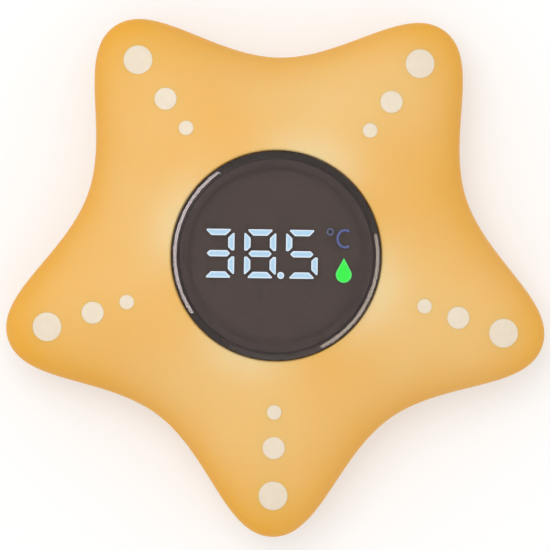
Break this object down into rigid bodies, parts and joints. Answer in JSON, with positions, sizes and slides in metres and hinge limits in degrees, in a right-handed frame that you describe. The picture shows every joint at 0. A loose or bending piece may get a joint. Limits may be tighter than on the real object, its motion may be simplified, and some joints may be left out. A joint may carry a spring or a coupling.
{
  "type": "baby bath thermometer",
  "caption": "Floating bath thermometer: a rounded starfish-shaped shell with a round smoked window over a lit digital display, and a steel probe and a cell door in its flat back.",
  "frame": {"origin": "centre of the flat back, under the centre of the round window", "axes": "+Z is the way the display faces, one arm points to -Y, and +X is to the right as the display is read"},
  "size_m": [0.09, 0.0863, 0.0236],
  "materials": {
    "body": "soft matte, warm yellow-orange, slightly translucent",
    "spots": "soft matte cream",
    "window": "smoked clear acrylic, polished",
    "foam_tape": "closed-cell foam tape",
    "display_housing": "dark matte",
    "lit_bars": "lit diffuser, pale blue",
    "lit_unit": "lit diffuser, blue-violet",
    "lit_drop": "lit diffuser, green",
    "board_laminate": "green solder mask",
    "chip_resin": "moulded resin",
    "cell_steel": "nickel-plated",
    "contact_brass": "sprung sheet",
    "seal_rubber": "matte silicone",
    "screw_steel": "bright zinc",
    "sensor_resin": "dipped epoxy",
    "probe_steel": "polished stainless steel"
  },
  "bodies": {
    "root": {"back_shell": "body", "battery_cell": "cell_steel", "battery_door": "body", "board_screw_1": "screw_steel", "board_screw_2": "screw_steel", "board_screw_3": "screw_steel", "circuit_board": "board_laminate", "contact_negative": "contact_brass", "contact_positive": "contact_brass", "decimal_point": "lit_bars", "degree_ring": "lit_unit", "display_block": "display_housing", "display_lens": "window", "door_screw_1": "screw_steel", "door_screw_2": "screw_steel", "door_screw_3": "screw_steel", "door_seal": "seal_rubber", "front_shell": "body", "lens_adhesive": "foam_tape", "letter_c": "lit_unit", "ones_bottom_bar": "lit_bars", "ones_lower_left_bar": "lit_bars", "ones_lower_right_bar": "lit_bars", "ones_middle_bar": "lit_bars", "ones_top_bar": "lit_bars", "ones_upper_left_bar": "lit_bars", "ones_upper_right_bar": "lit_bars", "probe_cap": "probe_steel", "processor": "chip_resin", "spot_inner_1": "spots", "spot_inner_2": "spots", "spot_inner_3": "spots", "spot_inner_4": "spots", "spot_inner_5": "spots", "spot_middle_1": "spots", "spot_middle_2": "spots", "spot_middle_3": "spots", "spot_middle_4": "spots", "spot_middle_5": "spots", "spot_outer_1": "spots", "spot_outer_2": "spots", "spot_outer_3": "spots", "spot_outer_4": "spots", "spot_outer_5": "spots", "temperature_sensor": "sensor_resin", "tens_bottom_bar": "lit_bars", "tens_lower_right_bar": "lit_bars", "tens_middle_bar": "lit_bars", "tens_top_bar": "lit_bars", "tens_upper_right_bar": "lit_bars", "tenths_bottom_bar": "lit_bars", "tenths_lower_right_bar": "lit_bars", "tenths_middle_bar": "lit_bars", "tenths_top_bar": "lit_bars", "tenths_upper_left_bar": "lit_bars", "water_contact_left": "probe_steel", "water_contact_right": "probe_steel", "water_drop": "lit_drop"}
  },
  "joints": []
}
